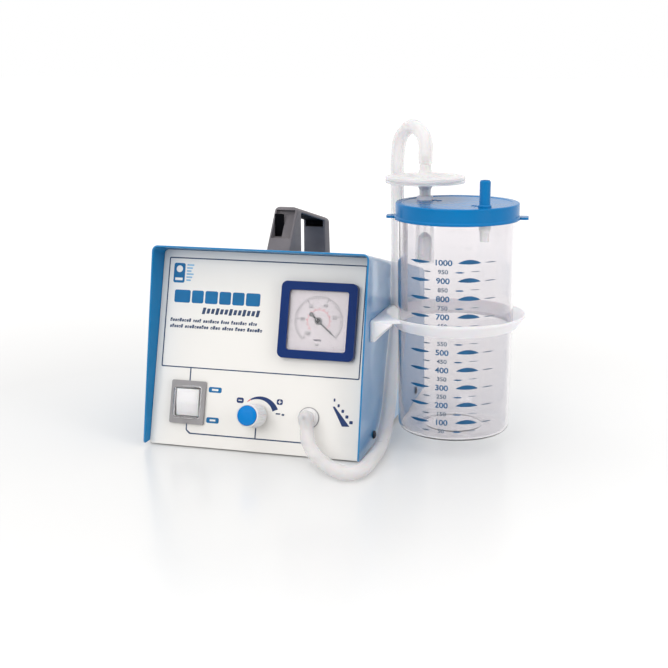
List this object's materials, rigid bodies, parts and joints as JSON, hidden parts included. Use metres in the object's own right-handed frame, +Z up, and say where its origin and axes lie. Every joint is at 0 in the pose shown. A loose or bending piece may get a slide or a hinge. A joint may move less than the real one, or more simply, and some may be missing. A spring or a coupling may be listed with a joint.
{
  "type": "suction pump",
  "caption": "Mains suction pump: wedge-shaped sheet metal case with gauge, regulator knob and switch, and a clear graduated jar in a side holder with filter and hose.",
  "frame": {"origin": "centre of the bottom face of the front left foot, on the floor plane", "axes": "+X across the case towards the jar, +Y from the control panel to the back, +Z up"},
  "size_m": [0.3075, 0.2744, 0.2658],
  "materials": {
    "blue_paint": "satin baked enamel",
    "white_paint": "satin baked enamel",
    "grey_plastic": "fine grained",
    "navy_plastic": "semi gloss moulding",
    "clear_plastic": "polished, clear",
    "dial_white": "matt print",
    "steel": "zinc plated",
    "brass": "as machined",
    "needle_black": "matt",
    "switch_grey": "satin moulding",
    "white_plastic": "smooth moulding",
    "clear_vinyl": "soft clear film",
    "blue_plastic": "glossy moulding",
    "port_grey": "satin moulding",
    "jar_clear": "clear polycarbonate",
    "black_rubber": "matt",
    "frosted_plastic": "translucent natural polypropylene",
    "membrane": "felted filter sheet",
    "silicone": "translucent silicone",
    "aluminium": "die cast",
    "black_plastic": "satin moulding"
  },
  "bodies": {
    "case": {"base_tray": "white_paint", "carry_handle": "grey_plastic", "cover_screw_left_front": "steel", "cover_screw_left_rear": "steel", "cover_screw_right_front": "steel", "cover_screw_right_rear": "steel", "cylinder_head": "aluminium", "damper_front_left": "black_rubber", "damper_front_right": "black_rubber", "damper_rear_left": "black_rubber", "damper_rear_right": "black_rubber", "foot_front_left": "black_rubber", "foot_front_right": "black_rubber", "foot_rear_left": "black_rubber", "foot_rear_right": "black_rubber", "front_panel": "white_paint", "gauge_bezel": "navy_plastic", "gauge_case": "steel", "gauge_dial": "dial_white", "gauge_lens": "clear_plastic", "gauge_stem": "brass", "gauge_tube": "brass", "holder_screw_front": "steel", "holder_screw_rear": "steel", "hose_lower": "silicone", "inlet_port": "port_grey", "inner_hose_inlet": "silicone", "inner_hose_pump": "silicone", "jar_holder": "frosted_plastic", "mains_inlet": "black_plastic", "motor_stator": "steel", "piston": "aluminium", "pump_base": "steel", "pump_cylinder": "aluminium", "rear_panel": "white_paint", "regulator_body": "brass", "regulator_nut": "steel", "silencer": "black_plastic", "switch_boot": "clear_vinyl", "switch_housing": "switch_grey", "top_cover": "blue_paint"},
    "jar": {"jar": "jar_clear"},
    "lid": {"jar_lid": "blue_plastic", "lid_seal": "black_rubber", "float_cage": "frosted_plastic", "filter_lower_shell": "frosted_plastic", "filter_upper_shell": "frosted_plastic", "filter_membrane": "membrane", "hose_upper": "silicone"},
    "float": {"float": "white_plastic"},
    "rocker": {"switch_rocker": "white_plastic"},
    "regulator": {"regulator_knob": "white_plastic", "knob_cap": "blue_plastic", "regulator_spindle": "brass", "valve_pin": "steel"},
    "needle": {"gauge_needle": "needle_black"},
    "sector": {"gauge_sector": "brass"},
    "rotor": {"motor_rotor": "steel", "fan": "grey_plastic", "crank_eccentric": "steel"}
  },
  "joints": [
    {"name": "jar_lift", "type": "slide", "parent": "case", "child": "jar", "axis": [0, 0, 1], "range_m": [0, 0.125]},
    {"name": "lid_lift", "type": "slide", "parent": "jar", "child": "lid", "axis": [0, 0, 1], "range_m": [0, 0.06]},
    {"name": "float_rise", "type": "slide", "parent": "lid", "child": "float", "axis": [0, 0, 1], "range_m": [0, 0.02]},
    {"name": "power_switch", "type": "hinge", "parent": "case", "child": "rocker", "pos_m": [0.0163, -0.00914, 0.03633], "axis": [1, 0, 0], "range_deg": [-18, 0]},
    {"name": "regulator_turn", "type": "hinge", "parent": "case", "child": "regulator", "pos_m": [0.0775, -0.01869, 0.03212], "axis": [0, -0.9604, 0.2785], "range_deg": [-300, 0]},
    {"name": "needle_turn", "type": "hinge", "parent": "case", "child": "needle", "pos_m": [0.1254, 0.00964, 0.10824], "axis": [0, -0.9604, 0.2785], "range_deg": [0, 270]},
    {"name": "sector_swing", "type": "hinge", "parent": "case", "child": "sector", "pos_m": [0.1254, 0.01431, 0.09023], "axis": [0, -0.9604, 0.2785], "range_deg": [-45, 0]},
    {"name": "motor_spin", "type": "hinge", "parent": "case", "child": "rotor", "pos_m": [0.064, 0.128, 0.064], "axis": [0, -1, 0], "continuous": true}
  ],
  "couplings": [
    {"joint": "sector_swing", "follows": "needle_turn", "ratio": -0.16296}
  ]
}
